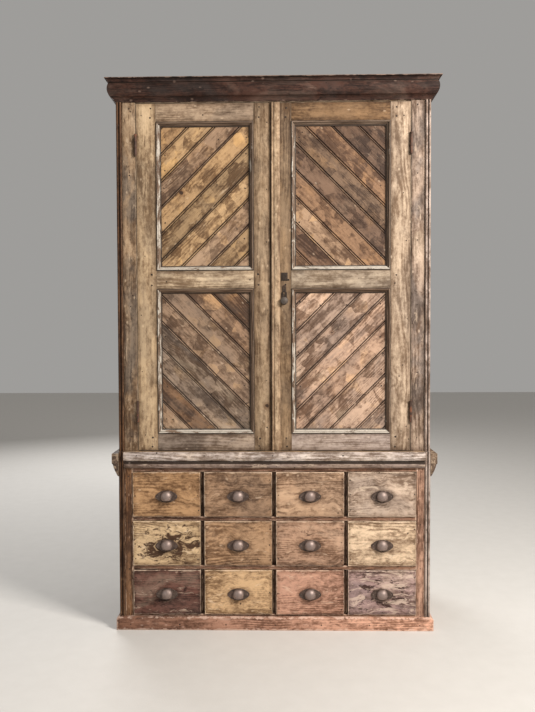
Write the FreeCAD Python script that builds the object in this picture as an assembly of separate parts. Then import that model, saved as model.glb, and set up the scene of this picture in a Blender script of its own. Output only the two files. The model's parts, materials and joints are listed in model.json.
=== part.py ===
"""Two-stage pine armoire: a cupboard with two panelled doors on a chest of twelve small drawers.

Units are millimetres. +Z is up, the front faces -Y, and the origin is on the floor at the
centre of the object's box. The chest stands on a plinth. The cupboard sits on the chest,
behind a waist moulding, and carries a cornice. Each door is a pegged frame of stiles and
rails around two fields of diagonal beaded boards, and hangs on two butt hinges.
"""

import FreeCAD, Part
import math
import os

V = FreeCAD.Vector

# ---- overall sizes --------------------------------------------------------------------------
HEIGHT = 2312.0
DEPTH = 550.0                    # cornice lip to back boards
HALF_WIDTH = 655.0               # outer faces of the side boards
BACK_Y = DEPTH / 2
BASE_Y = -245.0                  # front of the chest's posts and rails
UPPER_Y = -235.0                 # front of the cupboard's face frame and doors
WAIST_Z = 757.0                  # top of the chest, bottom of the cupboard
SIDE_T = 22.0                    # side boards
BACK_T = 12.0                    # back boards
INNER_X = HALF_WIDTH - SIDE_T

# ---- corner strips, plinth, waist and cornice -----------------------------------------------
STRIP_W = SIDE_T                 # a strip covers the front edge of its side board
STRIP_PROUD = 8.0                # how far a strip stands in front of its post
STRIP_T = 22.0
FRAME_T = 25.0                   # posts and stiles of both face frames
PLINTH_T = 14.0
PLINTH_H = 57.0
CORNICE_Z = 2219.0               # underside of the cornice
CASE_TOP_Z = 2285.0
SIDE_MOULDING_OUT = 29.0

# ---- drawers --------------------------------------------------------------------------------
ROWS, COLUMNS = 3, 4
POST_INNER_X = 598.0
RAIL_H = 17.0
RAIL_DEPTH = 60.0
DIVIDER_T = 14.0
DIVIDER_RECESS = 12.0
BOTTOM_RAIL_Z = (44.0, 64.5)
OPENING_H = 191.0
OPENING_W = (2 * POST_INNER_X - (COLUMNS - 1) * DIVIDER_T) / COLUMNS
FRONT_GAP = 1.5                  # round each drawer front
FRONT_T = 20.0
FRONT_PROUD = 7.0
BOX_DEPTH = 440.0
BOX_SIDE_T = 10.0
BOX_SIDE_H = 172.0
BOX_BOTTOM_T = 7.0
RUNNER_GAP = 0.4                 # under the drawer sides
GROOVE = 4.0

# ---- drawer pulls ---------------------------------------------------------------------------
PULL_DROP = 8.0                  # below the middle of the drawer front
CUP_R = 26.0
CUP_WALL = 2.2
CUP_SINK = 3.0                   # centre of the cup's sphere behind the wood
CUP_MOUTH = 17.0                 # mouth of the cup below its centre
FLANGE_HALF = (50.0, 26.0)
FLANGE_TRIM = 4.0                # blunt tips of the eye
FLANGE_T = 2.0
SCREW_X = 38.0

# ---- doors ----------------------------------------------------------------------------------
DOOR_T = 28.0
DOOR_EDGE_X = 573.0              # hinge edges
STILE_EDGE_X = 574.5             # face frame's inner edges
MEETING_X = -10.0
MEETING_GAP = 3.0
REBATE = (9.5, 5.0)              # sunk edge of the left door beside the meeting bead
DOOR_Z = (760.0, 2214.0)
FIELD_LEFT = (-489.0, -82.0)     # openings between the stiles
FIELD_RIGHT = (76.0, 489.0)
FIELD_LOW = (832.0, 1442.0)
FIELD_HIGH = (1519.0, 2137.0)
FIELD_RECESS = 12.0
BOARD_T = 12.0
BOARD_W = 78.5
HIGH_PHASE, LOW_PHASE = 19.5, 34.0   # where the joints between boards fall
FIELD_HOUSED = 6.0               # how far the boards enter the frame
TENON_T, TENON_L, TENON_INSET = 9.0, 50.0, 13.0
MOULDING_W = 19.5

# ---- cupboard inside ------------------------------------------------------------------------
SHELF_T = 18.0
SHELF_Z = (1128.0, 1560.0, 1912.0)
SHELF_FRONT_Y = UPPER_Y + 42.0
BATTEN = (16.0, 32.0)
CASE_BOARD_T = 20.0

# ---- hinges, latch and bolt -----------------------------------------------------------------
HINGE_H = 86.0
HINGE_Z = (925.0, 2042.0)
BARREL_R = 5.2
BARREL_OUT = 5.6                 # barrel axis in front of the door face
PIN_R = 2.4
RUNNING = 0.3                    # radial clearance of a turning part
LEAF_T = 2.0
LEAF_DEPTH = 26.0
HINGE_X = (DOOR_EDGE_X + STILE_EDGE_X) / 2
LATCH_X, LATCH_Z = 45.0, 1390.0
SPINDLE_R = 4.5
TONGUE_L, TONGUE_W, TONGUE_T = 86.0, 14.0, 4.0
BOLT_X, BOLT_TIP_Z, BOLT_L, BOLT_W = -48.0, 2206.0, 120.0, 9.0


# ---- shape helpers --------------------------------------------------------------------------
def box(xs, ys, zs):
    """Box between the low and high value on each axis."""
    sizes = [abs(b - a) for a, b in (xs, ys, zs)]
    return Part.makeBox(*sizes, V(min(xs), min(ys), min(zs)))


def outline(steps, place):
    """Face inside a closed outline. A step is a point, or (through, end) for an arc."""
    edges, last = [], steps[0]
    for step in steps[1:] + steps[:1]:
        if isinstance(step[0], tuple):
            through, end = step
            edges.append(Part.Arc(place(*last), place(*through), place(*end)).toShape())
        else:
            end = step
            edges.append(Part.makeLine(place(*last), place(*end)))
        last = end
    return Part.Face(Part.Wire(edges))


def prism(points, direction):
    """Straight-sided solid from 3-D corner points pushed along a direction."""
    return Part.Face(Part.makePolygon(points + points[:1])).extrude(direction)


def rod(radius, start, direction, length):
    return Part.makeCylinder(radius, length, start, direction)


def mirrored(shape):
    return shape.mirror(V(0, 0, 0), V(1, 0, 0))


def cut_all(shape, tools):
    for tool in tools:
        shape = shape.cut(tool)
    return shape


def save(name, solids):
    """Writes one node, as a compound when it has several pieces."""
    whole = solids[0] if len(solids) == 1 else Part.makeCompound(solids)
    for solid in whole.Solids:
        if not solid.isValid() or solid.Volume <= 0:
            print("bad solid in", name)
    whole.exportStep(f"parts/{name}.step")
    return len(whole.Solids)


# ---- mouldings round the case ---------------------------------------------------------------
def return_moulding(profile, reach, face_y):
    """Front run and two side runs of a profile (outwards, z), mitred at the front corners."""
    wide = HALF_WIDTH
    low, high = -10.0, HEIGHT + 10.0
    front = outline(profile, lambda p, z: V(-wide - reach, face_y - p, z))
    front = front.extrude(V(2 * (wide + reach), 0, 0))
    corners = [(-wide - reach, -reach), (wide + reach, -reach), (wide, 0), (-wide, 0)]
    wedge = prism([V(x, face_y + y, low) for x, y in corners], V(0, 0, high - low))
    side = outline(profile, lambda p, z: V(wide + p, face_y - reach, z))
    side = side.extrude(V(0, BACK_Y - face_y + reach, 0))
    corners = [(wide, face_y), (wide + reach, face_y - reach), (wide + reach, BACK_Y), (wide, BACK_Y)]
    side = side.common(prism([V(x, y, low) for x, y in corners], V(0, 0, high - low)))
    return [front.common(wedge), side, mirrored(side)]


def cornice():
    """Cove and ovolo under a flared lip, and a block in each front corner behind them."""
    z, top = CORNICE_Z, HEIGHT
    body_top = top - 21.0
    profile = [
        (0.0, z), (4.0, z), ((9.5, z + 11.5), (22.0, z + 20.0)),
        ((31.0, z + 43.0), (27.0, body_top - 1.0)), (24.0, body_top), (24.0, body_top + 3.0),
        (28.0, body_top + 4.0), ((31.0, body_top + 12.0), (40.0, top - 4.0)), (40.0, top), (0.0, top),
    ]
    block = box((HALF_WIDTH - STRIP_W, HALF_WIDTH), (UPPER_Y, UPPER_Y + 14.0), (z, CASE_TOP_Z))
    return return_moulding(profile, 50.0, UPPER_Y) + [block, mirrored(block)]


def plinth():
    """Boards round the foot with a rounded top edge."""
    profile = [
        (0.0, 0.0), (PLINTH_T, 0.0), (PLINTH_T, PLINTH_H - 11.0),
        ((10.5, PLINTH_H - 3.5), (3.0, PLINTH_H)), (0.0, PLINTH_H),
    ]
    return return_moulding(profile, 20.0, BASE_Y)


def waist_moulding():
    """Nosing across the front between the strips, and a bracket-shaped run on each side."""
    top = WAIST_Z - 1.0
    nosing = [
        (0.0, top), (13.0, top), ((21.0, top - 18.5), (13.0, top - 37.0)), (8.0, top - 37.0),
        (8.0, top - 50.0), ((12.0, top - 59.0), (8.0, top - 68.0)), (0.0, top - 68.0),
    ]
    half = HALF_WIDTH - STRIP_W
    front = outline(nosing, lambda p, z: V(-half, BASE_Y - p, z)).extrude(V(2 * half, 0, 0))
    out, top = SIDE_MOULDING_OUT, WAIST_Z - 8.0
    bracket = [
        (0.0, top), (out, top), (out, top - 42.0), (out - 4.0, top - 45.0),
        ((15.0, top - 74.0), (3.0, top - 96.0)), (0.0, top - 96.0),
    ]
    start = BASE_Y - STRIP_PROUD
    side = outline(bracket, lambda p, z: V(HALF_WIDTH + p, start, z))
    side = side.extrude(V(0, BACK_Y - start, 0))
    return [front, side, mirrored(side)]


def corner_strip(face_y, z0, z1):
    """Upright with two half-round reeds, in front of the right side board."""
    inner, outer = HALF_WIDTH - STRIP_W, HALF_WIDTH
    reed = 9.0
    shoulder = face_y - STRIP_PROUD + 4.0
    crest = face_y - STRIP_PROUD
    back = shoulder - 4.0 + STRIP_T
    steps = [
        (inner, back), (inner, shoulder), ((inner + reed / 2, crest), (inner + reed, shoulder)),
        (inner + reed, shoulder + 1.0), (outer - reed, shoulder + 1.0), (outer - reed, shoulder),
        ((outer - reed / 2, crest), (outer, shoulder)), (outer, back),
    ]
    return outline(steps, lambda x, y: V(x, y, z0)).extrude(V(0, 0, z1 - z0))


def corner_strips():
    right = [
        corner_strip(BASE_Y, PLINTH_H, WAIST_Z),
        corner_strip(UPPER_Y, WAIST_Z, CORNICE_Z),
    ]
    return right + [mirrored(s) for s in right]


# ---- chest carcass --------------------------------------------------------------------------
def opening_x(column):
    left = -POST_INNER_X + column * (OPENING_W + DIVIDER_T)
    return left, left + OPENING_W


def opening_z(row):
    """Row 1 is the top row."""
    low = BOTTOM_RAIL_Z[1] + (ROWS - row) * (OPENING_H + RAIL_H)
    return low, low + OPENING_H


def base_side():
    return box((INNER_X, HALF_WIDTH), (BASE_Y - STRIP_PROUD + STRIP_T, BACK_Y), (0, WAIST_Z))


def base_post():
    top = WAIST_Z - CASE_BOARD_T
    return box((POST_INNER_X, HALF_WIDTH - STRIP_W), (BASE_Y, BASE_Y + FRAME_T), (0, top))


def base_rails():
    """Top rail, two rails between the rows and the bottom rail."""
    xs, ys = (-POST_INNER_X, POST_INNER_X), (BASE_Y, BASE_Y + RAIL_DEPTH)
    top = (opening_z(1)[1], WAIST_Z - CASE_BOARD_T)
    between = [(opening_z(row)[0] - RAIL_H, opening_z(row)[0]) for row in range(1, ROWS)]
    return [box(xs, ys, zs) for zs in [top, *between, BOTTOM_RAIL_Z]]


def drawer_dividers():
    ys = (BASE_Y + DIVIDER_RECESS, BASE_Y + RAIL_DEPTH)
    return [
        box((opening_x(c)[1], opening_x(c)[1] + DIVIDER_T), ys, opening_z(row))
        for c in range(COLUMNS - 1)
        for row in range(1, ROWS + 1)
    ]


def drawer_partitions():
    ys = (BASE_Y + RAIL_DEPTH, BACK_Y - BACK_T)
    zs = (BOTTOM_RAIL_Z[0] + 14.0, WAIST_Z - CASE_BOARD_T)
    return [
        box((opening_x(c)[1], opening_x(c)[1] + DIVIDER_T), ys, zs) for c in range(COLUMNS - 1)
    ]


def drawer_runners():
    """A batten under each side of each drawer, level with the rail in front of it."""
    width = 18.0
    ys = (BASE_Y + RAIL_DEPTH, BACK_Y - BACK_T - 20.0)
    runners = []
    for row in range(1, ROWS + 1):
        top = opening_z(row)[0]
        low = top - RAIL_H if row < ROWS else BOTTOM_RAIL_Z[0] + 14.0
        for c in range(COLUMNS):
            left, right = opening_x(c)
            first = -INNER_X if c == 0 else left
            last = INNER_X if c == COLUMNS - 1 else right
            runners.append(box((first, left + width), ys, (low, top)))
            runners.append(box((right - width, last), ys, (low, top)))
    return runners


def base_boards():
    """Top board and bottom board of the chest."""
    xs = (-INNER_X, INNER_X)
    top = box(xs, (BASE_Y, BACK_Y - BACK_T), (WAIST_Z - CASE_BOARD_T, WAIST_Z))
    low = BOTTOM_RAIL_Z[0]
    bottom = box(xs, (BASE_Y + RAIL_DEPTH, BACK_Y - BACK_T), (low, low + 14.0))
    return [top, bottom]


def back_boards(zs, count):
    """Upright boards side by side across the back."""
    pitch = 2 * INNER_X / count
    ys = (BACK_Y - BACK_T, BACK_Y)
    return [
        box((-INNER_X + i * pitch + 0.4, -INNER_X + (i + 1) * pitch - 0.4), ys, zs)
        for i in range(count)
    ]


# ---- drawers --------------------------------------------------------------------------------
def drawer_side(x0, front_y, bottom_z):
    """Side board with three dovetails on its front end."""
    tail_l, root, tip = 14.0, 17.0, 21.0
    joint = front_y + FRONT_T
    back = joint + BOX_DEPTH
    top = bottom_z + BOX_SIDE_H
    points = [(back, bottom_z), (back, top), (joint, top)]
    for i in (2, 1, 0):
        mid = bottom_z + BOX_SIDE_H * (i + 0.5) / 3
        points += [(joint, mid + root), (joint - tail_l, mid + tip)]
        points += [(joint - tail_l, mid - tip), (joint, mid - root)]
    points.append((joint, bottom_z))
    return prism([V(x0, y, z) for y, z in points], V(BOX_SIDE_T, 0, 0))


def drawer():
    """The top left drawer: front, two sides, back and bottom."""
    x0, x1 = (x + s * FRONT_GAP for x, s in zip(opening_x(0), (1, -1)))
    low, high = opening_z(1)
    front_y = BASE_Y - FRONT_PROUD
    joint, bottom_z = front_y + FRONT_T, low + RUNNER_GAP
    front = box((x0, x1), (front_y, joint), (low + FRONT_GAP, high - FRONT_GAP))
    edges = [e for e in front.Edges if all(abs(v.Y - front_y) < 0.01 for v in e.Vertexes)]
    front = front.makeFillet(2.5, edges)
    sides = [drawer_side(x, front_y, bottom_z) for x in (x0, x1 - BOX_SIDE_T)]
    inner = (x0 + BOX_SIDE_T, x1 - BOX_SIDE_T)
    end = joint + BOX_DEPTH
    floor_z = bottom_z + 10.0
    bottom = box(
        (inner[0] - GROOVE, inner[1] + GROOVE), (joint - GROOVE, end - 2.0),
        (floor_z, floor_z + BOX_BOTTOM_T),
    )
    back = box(inner, (end - 12.0, end - 2.0), (floor_z + BOX_BOTTOM_T, bottom_z + BOX_SIDE_H - 8.0))
    sides = [s.cut(bottom) for s in sides]
    middle = V((x0 + x1) / 2, front_y, (low + high) / 2 - PULL_DROP)
    holes = [rod(1.6, middle + V(s * SCREW_X, -1, 0), V(0, 1, 0), 13.0) for s in (-1, 1)]
    front = cut_all(front, sides + [bottom] + holes)
    return [front, *sides, back, bottom], middle


def pull(middle):
    """Cup pull on an eye-shaped flange, and its two screws, at the middle of a drawer front."""
    half_w, half_h = FLANGE_HALF
    centre = middle + V(0, CUP_SINK, 0)
    outer = Part.makeSphere(CUP_R, centre)
    inner = Part.makeSphere(CUP_R - CUP_WALL, centre)
    front_half = box(
        (middle.x - 60, middle.x + 60), (middle.y - 60, middle.y),
        (middle.z - CUP_MOUTH, middle.z + 60),
    )
    flange_r = (half_w ** 2 + half_h ** 2) / (2 * half_h)
    start = middle - V(0, FLANGE_T, 0)
    discs = [
        rod(flange_r, start + V(0, 0, s * (flange_r - half_h)), V(0, 1, 0), FLANGE_T)
        for s in (-1, 1)
    ]
    eye = discs[0].common(discs[1])
    eye = eye.common(box(
        (middle.x - half_w + FLANGE_TRIM, middle.x + half_w - FLANGE_TRIM), (middle.y - 9, middle.y + 9),
        (middle.z - 60, middle.z + 60),
    ))
    cup = outer.common(front_half).fuse(eye)
    cup = cup.cut(inner).removeSplitter()
    screws = []
    for s in (-1, 1):
        seat = middle + V(s * SCREW_X, 0, 0)
        cup = cup.cut(rod(1.7, seat + V(0, -FLANGE_T - 1, 0), V(0, 1, 0), FLANGE_T + 2))
        head = Part.makeSphere(4.2, seat + V(0, -FLANGE_T + 2.6, 0))
        head = head.common(box(
            (seat.x - 9, seat.x + 9), (seat.y - 12, seat.y - FLANGE_T), (seat.z - 9, seat.z + 9)
        ))
        slot = box((seat.x - 9, seat.x + 9), (seat.y - 9, seat.y - FLANGE_T - 0.9),
                   (seat.z - 0.5, seat.z + 0.5))
        shank = rod(1.5, seat + V(0, -FLANGE_T, 0), V(0, 1, 0), FLANGE_T + 11.0)
        screws.append(head.cut(slot).fuse(shank).removeSplitter())
    return [cup, *screws]


# ---- cupboard carcass -----------------------------------------------------------------------
def upper_side():
    front = UPPER_Y - STRIP_PROUD + STRIP_T
    return box((INNER_X, HALF_WIDTH), (front, BACK_Y), (WAIST_Z, CASE_TOP_Z))


def face_frame():
    """Two stiles with hinge housings, and the rail behind the cornice."""
    ys = (UPPER_Y, UPPER_Y + FRAME_T)
    stile = box((STILE_EDGE_X, HALF_WIDTH - STRIP_W), ys, (WAIST_Z, CASE_TOP_Z))
    stile = cut_all(stile, [leaf_housing(z, 1) for z in HINGE_Z])
    rail_low = DOOR_Z[1] + 2.0
    rail = box((-STILE_EDGE_X, STILE_EDGE_X), ys, (rail_low, CASE_TOP_Z))
    return [stile, mirrored(stile), rail]


def upper_boards():
    """Top board and bottom board of the cupboard."""
    xs, end = (-INNER_X, INNER_X), BACK_Y - BACK_T
    top = box(xs, (UPPER_Y + FRAME_T, end), (CASE_TOP_Z - CASE_BOARD_T, CASE_TOP_Z))
    bottom = box(xs, (UPPER_Y + DOOR_T + 2.0, end), (WAIST_Z, WAIST_Z + CASE_BOARD_T))
    return [top, bottom]


def shelves():
    ys = (SHELF_FRONT_Y, BACK_Y - BACK_T)
    return [box((-INNER_X, INNER_X), ys, (z, z + SHELF_T)) for z in SHELF_Z]


def shelf_battens():
    thick, tall = BATTEN
    ys = (SHELF_FRONT_Y + 10.0, BACK_Y - BACK_T)
    right = [box((INNER_X - thick, INNER_X), ys, (z - tall, z)) for z in SHELF_Z]
    return right + [mirrored(b) for b in right]


# ---- doors ----------------------------------------------------------------------------------
def field_slab(xs, zs):
    """The room that a field of boards takes, with its housing in the frame."""
    grow = FIELD_HOUSED
    face = UPPER_Y + FIELD_RECESS
    return box(
        (xs[0] - grow, xs[1] + grow), (face - 0.1, face + BOARD_T + 0.1),
        (zs[0] - grow, zs[1] + grow),
    )


def door_frame(outer_x, field_x):
    """Stiles and rails of a door. The rails' tenons fill the stiles' mortises."""
    ys = (UPPER_Y, UPPER_Y + DOOR_T)
    stiles = [
        box((outer_x[0], field_x[0]), ys, DOOR_Z),
        box((field_x[1], outer_x[1]), ys, DOOR_Z),
    ]
    spans = [(DOOR_Z[0], FIELD_LOW[0]), (FIELD_LOW[1], FIELD_HIGH[0]), (FIELD_HIGH[1], DOOR_Z[1])]
    mid_y = UPPER_Y + DOOR_T / 2
    slabs = [field_slab(field_x, zs) for zs in (FIELD_LOW, FIELD_HIGH)]
    rails = []
    for low, high in spans:
        tenon = box(
            (field_x[0] - TENON_L, field_x[1] + TENON_L),
            (mid_y - TENON_T / 2, mid_y + TENON_T / 2), (low + TENON_INSET, high - TENON_INSET),
        )
        rails.append(box(field_x, ys, (low, high)).fuse(tenon).removeSplitter())
    stiles = [cut_all(s, rails + slabs) for s in stiles]
    return stiles, [cut_all(r, slabs) for r in rails]


def board_profile():
    """Across a board (w) and into it (t): beaded edge with a groove, flat face, tongue."""
    w, t = BOARD_W, BOARD_T
    return [
        (0.4, 3.2), ((3.3, 0.1), (6.2, 3.2)), (6.8, 3.6), (9.6, 3.6), (10.8, 0.0),
        (w - 2.6, 0.0), (w, 3.0), (w, 5.2), (w + 4.6, 5.2), (w + 4.6, 8.8), (w, 8.8), (w, t),
        (0.4, t), (0.4, 9.0), (5.4, 9.0), (5.4, 5.0), (0.4, 5.0),
    ]


def field_boards(xs, zs, rise, phase):
    """Diagonal boards that fill a field. rise is +1 for boards climbing to the right, and
    phase moves the joints across the boards."""
    s = math.sqrt(0.5)
    along, across = V(s, 0, rise * s), V(-rise * s, 0, s)
    room = FIELD_HOUSED - 0.5
    low = V(xs[0] - room, 0, zs[0] - room)
    high = V(xs[1] + room, 0, zs[1] + room)
    face = UPPER_Y + FIELD_RECESS
    field = box((low.x, high.x), (face, face + BOARD_T), (low.z, high.z))
    corners = [V(x, 0, z) for x in (low.x, high.x) for z in (low.z, high.z)]
    reach = [c.dot(across) for c in corners]
    run = [c.dot(along) for c in corners]
    first = math.floor((min(reach) - phase) / BOARD_W)
    last = math.ceil((max(reach) - phase) / BOARD_W)
    boards = []
    for i in range(first, last):
        start = along * (min(run) - 20.0) + across * (phase + i * BOARD_W)
        plank = outline(board_profile(), lambda w, t: start + across * w + V(0, face + t, 0))
        plank = plank.extrude(along * (max(run) - min(run) + 40.0)).common(field)
        boards += [b for b in plank.Solids if b.Volume > 500.0]
    return boards


def field_moulding(xs, zs):
    """Four mitred lengths round a field: a nose on the frame, then a hollow to the boards."""
    profile = [
        (0.0, 11.9), (0.0, -2.0), ((3.6, -4.5), (7.2, -2.0)), (8.4, 1.5),
        ((12.4, 4.0), (14.5, 8.4)), (MOULDING_W, 9.4), (MOULDING_W, 11.9),
    ]
    ring = [V(xs[0], 0, zs[0]), V(xs[1], 0, zs[0]), V(xs[1], 0, zs[1]), V(xs[0], 0, zs[1])]
    lengths = []
    for i, start in enumerate(ring):
        run = ring[(i + 1) % 4] - start
        along = V(run).normalize()
        inward = V(-along.z, 0, along.x)
        bar = outline(profile, lambda p, d: start + inward * p + V(0, UPPER_Y + d, 0)).extrude(run)
        w = MOULDING_W
        inner = [start + run + (inward - along) * w, start + (inward + along) * w]
        mitre = [start, start + run, *inner]
        bar = bar.common(prism([p + V(0, UPPER_Y - 10, 0) for p in mitre], V(0, 30, 0)))
        lengths.append(bar)
    return lengths


def meeting_bead():
    """Small reed, quirk and broad flat reed, planted on the right door's meeting edge."""
    left = MEETING_X + MEETING_GAP / 2
    reed, quirk, broad, shoulder = 10.5, 1.5, 25.0, 5.0
    start, right = left + reed + quirk, left + reed + quirk + broad
    steps = [
        (left, 0.0), (left, 2.0), ((left + reed / 2, 5.5), (left + reed, 2.0)), (start, 2.0),
        (start, shoulder), ((start + broad / 2, shoulder + 3.0), (right, shoulder)), (right, 0.0),
    ]
    face = outline(steps, lambda x, p: V(x, UPPER_Y - p, DOOR_Z[0]))
    return face.extrude(V(0, 0, DOOR_Z[1] - DOOR_Z[0]))


def meeting_rebate():
    wide, deep = REBATE
    edge = MEETING_X - MEETING_GAP / 2
    return box((edge - wide, edge + 1), (UPPER_Y - 1, UPPER_Y + deep), (DOOR_Z[0] - 1, DOOR_Z[1] + 1))


# ---- hinges ---------------------------------------------------------------------------------
def leaf_housing(mid_z, side):
    """Recess for a leaf: side +1 in the face frame, -1 in the right door."""
    start = HINGE_X + side * 0.1
    zs = (mid_z - HINGE_H / 2 - 0.1, mid_z + HINGE_H / 2 + 0.1)
    return box((start, start + side * (LEAF_T + 0.1)), (UPPER_Y, UPPER_Y + LEAF_DEPTH + 0.2), zs)


def knuckle(mid_z, index, bore):
    """One of three knuckles, from the bottom, on the right hinge line."""
    length = HINGE_H / 3
    start = V(HINGE_X, UPPER_Y - BARREL_OUT, mid_z - HINGE_H / 2 + index * length + 0.15)
    barrel = rod(BARREL_R, start, V(0, 0, 1), length - 0.3)
    return barrel, rod(bore, start - V(0, 0, 1), V(0, 0, 1), length + 2)


def hinge_leaf(mid_z, side, own, bore):
    """Plate in its housing, its own knuckles and three countersunk screws."""
    near = HINGE_X + side * 0.15
    xs = (near, near + side * LEAF_T)
    half = HINGE_H / 2
    leaf = box(xs, (UPPER_Y + 0.3, UPPER_Y + LEAF_DEPTH), (mid_z - half, mid_z + half))
    for index in own:
        barrel, hole = knuckle(mid_z, index, bore)
        low = mid_z - half + index * HINGE_H / 3 + 0.15
        web = box(xs, (UPPER_Y - BARREL_OUT, UPPER_Y + 0.3), (low, low + HINGE_H / 3 - 0.3))
        leaf = leaf.fuse(barrel).fuse(web).cut(hole)
    screws = []
    for i, step in enumerate((-0.32, 0.0, 0.32)):
        at = V(near, UPPER_Y + (14.0 if i == 1 else 10.0), mid_z + step * HINGE_H)
        leaf = leaf.cut(rod(3.7, at - V(side, 0, 0), V(side, 0, 0), LEAF_T + 2))
        screws.append(rod(3.6, at, V(side, 0, 0), LEAF_T))
    return [leaf.removeSplitter(), *screws]


def hinge_pin(mid_z):
    """Pin with a button head at each end of the barrel."""
    axis = V(HINGE_X, UPPER_Y - BARREL_OUT, mid_z - HINGE_H / 2)
    pin = rod(PIN_R, axis - V(0, 0, 1.5), V(0, 0, 1), HINGE_H + 3.0)
    for z in (-3.0, HINGE_H + 0.2):
        pin = pin.fuse(rod(BARREL_R - 0.8, axis + V(0, 0, z), V(0, 0, 1), 2.8))
    return pin.removeSplitter()


# ---- latch and bolt -------------------------------------------------------------------------
def rounded_bar(x, y0, y1, z0, z1, half_w):
    """Upright plate with round ends."""
    plate = box((x - half_w, x + half_w), (y0, y1), (z0 + half_w, z1 - half_w))
    for z in (z0 + half_w, z1 - half_w):
        plate = plate.fuse(rod(half_w, V(x, y0, z), V(0, 1, 0), y1 - y0))
    return plate.removeSplitter()


def lock_plates():
    """Waisted keyhole plate that the spindle comes through, a square plate above, a nail."""
    face, x, z = UPPER_Y, LATCH_X, LATCH_Z
    plate = rounded_bar(x, face - 2.0, face, z - 17.0, z + 42.0, 12.0)
    plate = plate.fuse(rounded_bar(x, face - 2.0, face, z + 20.0, z + 66.0, 8.0)).removeSplitter()
    keyhole_z = z + 33.0
    for radius, height in ((SPINDLE_R + 1.0, z), (3.4, keyhole_z), (2.4, z + 54.0)):
        plate = plate.cut(rod(radius, V(x, face - 5, height), V(0, 1, 0), 9))
    plate = plate.cut(box((x - 1.5, x + 1.5), (face - 5, face + 4), (keyhole_z - 14, keyhole_z)))
    square = box((x - 13, x + 15), (face - 1.6, face), (z + 84.0, z + 118.0))
    nail = Part.makeSphere(4.2, V(x + 18.5, face + 1.6, z + 88.0))
    nail = nail.common(box((x, x + 40), (face - 5, face), (z + 80, z + 96)))
    return [plate, square, nail]


def turn_latch():
    """Turned knob on its spindle, and the tongue riveted to it behind the stile, hanging down."""
    z, back = LATCH_Z, UPPER_Y + DOOR_T + 0.6
    rivet, seat = -TONGUE_T - 1.0, DOOR_T + 2.9
    profile = [
        (0.0, rivet), (SPINDLE_R, rivet), (SPINDLE_R, seat), (9.0, seat), (8.0, seat + 3.6),
        ((6.4, seat + 6.6), (7.6, seat + 9.6)), ((16.0, seat + 16.5), (9.5, seat + 22.0)),
        ((6.0, seat + 23.2), (1.5, seat + 23.8)), (0.0, seat + 23.8),
    ]
    half = outline(profile, lambda r, d: V(LATCH_X + r, back - d, z))
    knob = half.revolve(V(LATCH_X, 0, z), V(0, 1, 0), 360)
    half_w = TONGUE_W / 2
    low, high = z + half_w - TONGUE_L, z + half_w
    tongue = rounded_bar(LATCH_X, back, back + TONGUE_T, low, high, half_w)
    hole = rod(SPINDLE_R, V(LATCH_X, back - 1, z), V(0, 1, 0), TONGUE_T + 2)
    return [knob, tongue.cut(hole)]


def spindle_hole():
    return rod(SPINDLE_R + 0.4, V(LATCH_X, UPPER_Y - 1, LATCH_Z), V(0, 1, 0), DOOR_T + 2)


def door_bolt():
    """Square bolt with a thumb knob, drawn down clear of the rail."""
    back = UPPER_Y + DOOR_T
    half = BOLT_W / 2
    ys = (back + 2.5, back + 2.5 + BOLT_W)
    bolt = box((BOLT_X - half, BOLT_X + half), ys, (BOLT_TIP_Z - BOLT_L, BOLT_TIP_Z))
    thumb_z = BOLT_TIP_Z - BOLT_L + 8.0
    thumb = rod(3.0, V(BOLT_X, ys[1] - 0.5, thumb_z), V(0, 1, 0), 10.0)
    return bolt.fuse(thumb).fuse(Part.makeSphere(5.5, V(BOLT_X, ys[1] + 11.0, thumb_z))).removeSplitter()


def bolt_keeps():
    """Back plate on the left door and two staples that the bolt slides through."""
    back = UPPER_Y + DOOR_T
    plate = box((BOLT_X - 16, BOLT_X + 16), (back, back + 2.0), (BOLT_TIP_Z - 92, BOLT_TIP_Z - 4))
    room, wall = BOLT_W / 2 + 0.5, 2.5
    staples = []
    for z in (BOLT_TIP_Z - 78, BOLT_TIP_Z - 24):
        wide, depth = room + wall, (back + 2.0, back + 12.5 + wall)
        arch = box((BOLT_X - wide, BOLT_X + wide), depth, (z, z + 12))
        way = box((BOLT_X - room, BOLT_X + room), (back, back + 12.5), (z - 1, z + 13))
        staples.append(arch.cut(way))
    return [plate, *staples]


# ---- the whole piece ------------------------------------------------------------------------
def carcass_nodes():
    side = base_side()
    upper = upper_side()
    post = base_post()
    leaves = []
    for z in HINGE_Z:
        leaves += hinge_leaf(z, 1, (0, 2), PIN_R) + [hinge_pin(z)]
    return {
        "plinth": plinth(),
        "base_side_left": [mirrored(side)],
        "base_side_right": [side],
        "base_front_posts": [mirrored(post), post],
        "base_drawer_rails": base_rails(),
        "drawer_dividers": drawer_dividers(),
        "drawer_partitions": drawer_partitions(),
        "drawer_runners": drawer_runners(),
        "base_top_and_bottom_boards": base_boards(),
        "base_back_boards": back_boards((BOTTOM_RAIL_Z[0], WAIST_Z), 6),
        "waist_moulding": waist_moulding(),
        "corner_strips": corner_strips(),
        "upper_side_left": [mirrored(upper)],
        "upper_side_right": [upper],
        "upper_face_frame": face_frame(),
        "upper_top_and_bottom_boards": upper_boards(),
        "upper_back_boards": back_boards((WAIST_Z, CASE_TOP_Z), 6),
        "shelves": shelves(),
        "shelf_battens": shelf_battens(),
        "cornice": cornice(),
        "hinge_case_leaves": leaves + [mirrored(s) for s in leaves],
    }


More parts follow.
